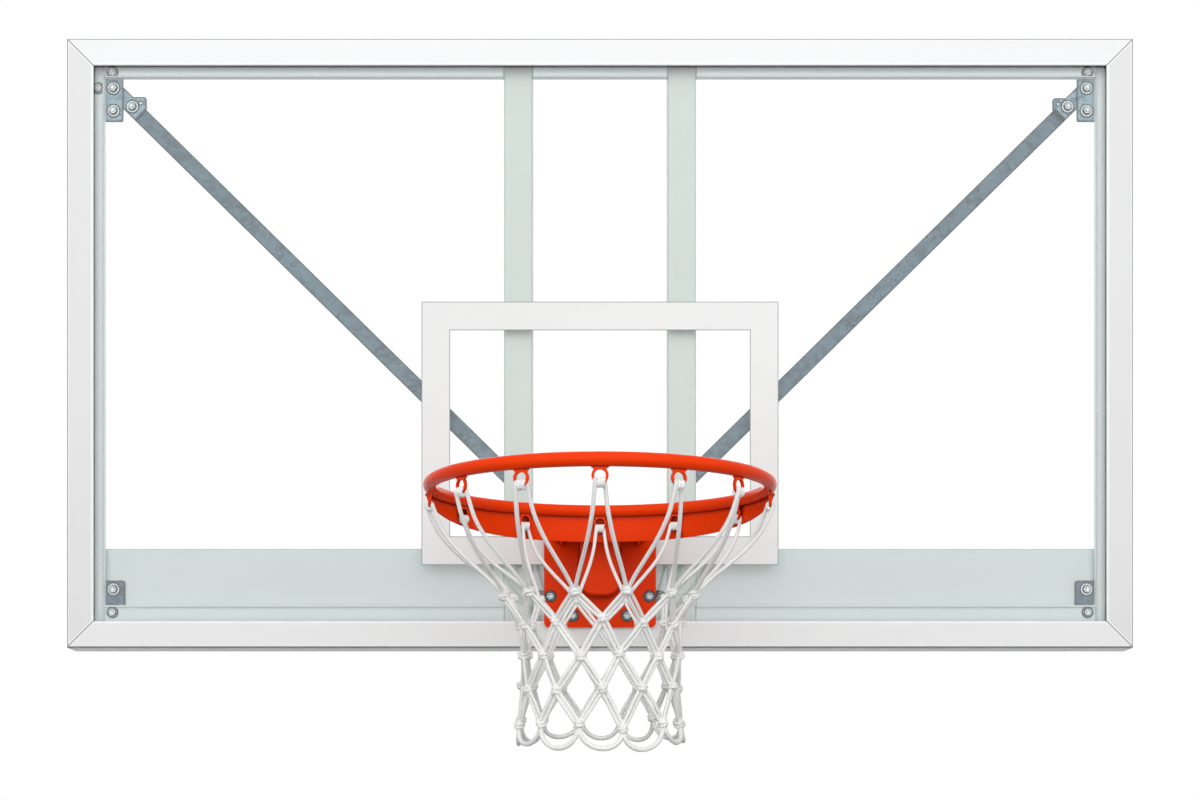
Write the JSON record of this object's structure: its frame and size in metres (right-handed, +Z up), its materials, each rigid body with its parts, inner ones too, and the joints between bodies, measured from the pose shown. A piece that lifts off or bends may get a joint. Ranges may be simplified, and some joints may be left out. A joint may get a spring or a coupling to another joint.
{
  "type": "basketball backboard",
  "caption": "Framed clear glass basketball backboard with a white target square, steel rear frame and braces, and an orange breakaway ring with a hanging cord net.",
  "frame": {"origin": "centre of the four rear mounting holes, on the uprights' rear face, level with the middle of the board", "axes": "+X to the right seen by a player facing the board, +Y from the player to the wall, +Z up"},
  "size_m": [1.83, 0.668, 1.184],
  "materials": {
    "frame_white": "satin white powder coat on aluminium",
    "gasket_rubber": "matt black rubber",
    "clear_glass": "clear tempered glass with a faint green tint",
    "target_white": "white film printed on the glass",
    "rail_grey": "pale grey paint on steel",
    "galvanised_steel": "hot-dip galvanised steel, blue-grey",
    "key_aluminium": "mill finish",
    "goal_orange": "glossy orange powder coat on steel",
    "net_cord": "white braided nylon cord",
    "spring_steel": "oiled spring steel",
    "zinc_fasteners": "bright zinc plate"
  },
  "bodies": {
    "board": {"bottom_rail": "rail_grey", "brace_bolts": "zinc_fasteners", "brace_left": "galvanised_steel", "brace_lug_left": "galvanised_steel", "brace_lug_right": "galvanised_steel", "brace_nuts": "zinc_fasteners", "brace_right": "galvanised_steel", "brace_strap_right": "galvanised_steel", "bracket_bolts": "zinc_fasteners", "bracket_nuts": "zinc_fasteners", "breakaway_spring": "spring_steel", "corner_keys": "key_aluminium", "corner_screws": "zinc_fasteners", "cross_bolts": "zinc_fasteners", "cross_member": "rail_grey", "cross_nuts": "zinc_fasteners", "foot_bolts": "zinc_fasteners", "foot_nuts": "zinc_fasteners", "frame_bottom": "frame_white", "frame_left": "frame_white", "frame_right": "frame_white", "frame_top": "frame_white", "gasket_bottom": "gasket_rubber", "gasket_left": "gasket_rubber", "gasket_right": "gasket_rubber", "gasket_top": "gasket_rubber", "glass_grommets": "gasket_rubber", "glass_panel": "clear_glass", "goal_bolts": "zinc_fasteners", "goal_nuts": "zinc_fasteners", "goal_plate_left": "rail_grey", "goal_plate_middle": "rail_grey", "goal_plate_right": "rail_grey", "goal_sleeves": "zinc_fasteners", "hinge_ears": "goal_orange", "hinge_pin": "spring_steel", "lower_bracket_left": "galvanised_steel", "lower_bracket_right": "galvanised_steel", "mount_plate": "goal_orange", "pin_clips": "spring_steel", "rail_bolts": "zinc_fasteners", "rail_nuts": "zinc_fasteners", "rail_screws": "zinc_fasteners", "side_rail_left": "rail_grey", "side_rail_right": "rail_grey", "spring_housing": "goal_orange", "target_square": "target_white", "top_rail": "rail_grey", "upper_bracket_left": "galvanised_steel", "upper_bracket_right": "galvanised_steel", "upright_left": "rail_grey", "upright_right": "rail_grey", "upright_screws": "zinc_fasteners"},
    "rim": {"ring": "goal_orange", "ring_skirt": "goal_orange", "rim_neck": "goal_orange", "net_hooks": "goal_orange", "net": "net_cord"},
    "plunger": {"spring_plunger": "spring_steel"}
  },
  "joints": [
    {"name": "rim_hinge", "type": "hinge", "parent": "board", "child": "rim", "pos_m": [0, -0.088, -0.333], "axis": [1, 0, 0], "range_deg": [0, 30], "stiffness_Nm_per_rad": 400, "springref_deg": -34.38},
    {"name": "plunger_slide", "type": "slide", "parent": "board", "child": "plunger", "axis": [0, 0, 1], "range_m": [-0.011, 0], "deforming": ["breakaway_spring"]}
  ],
  "couplings": [
    {"joint": "plunger_slide", "follows": "rim_hinge", "m_per_rad": -0.0204}
  ]
}
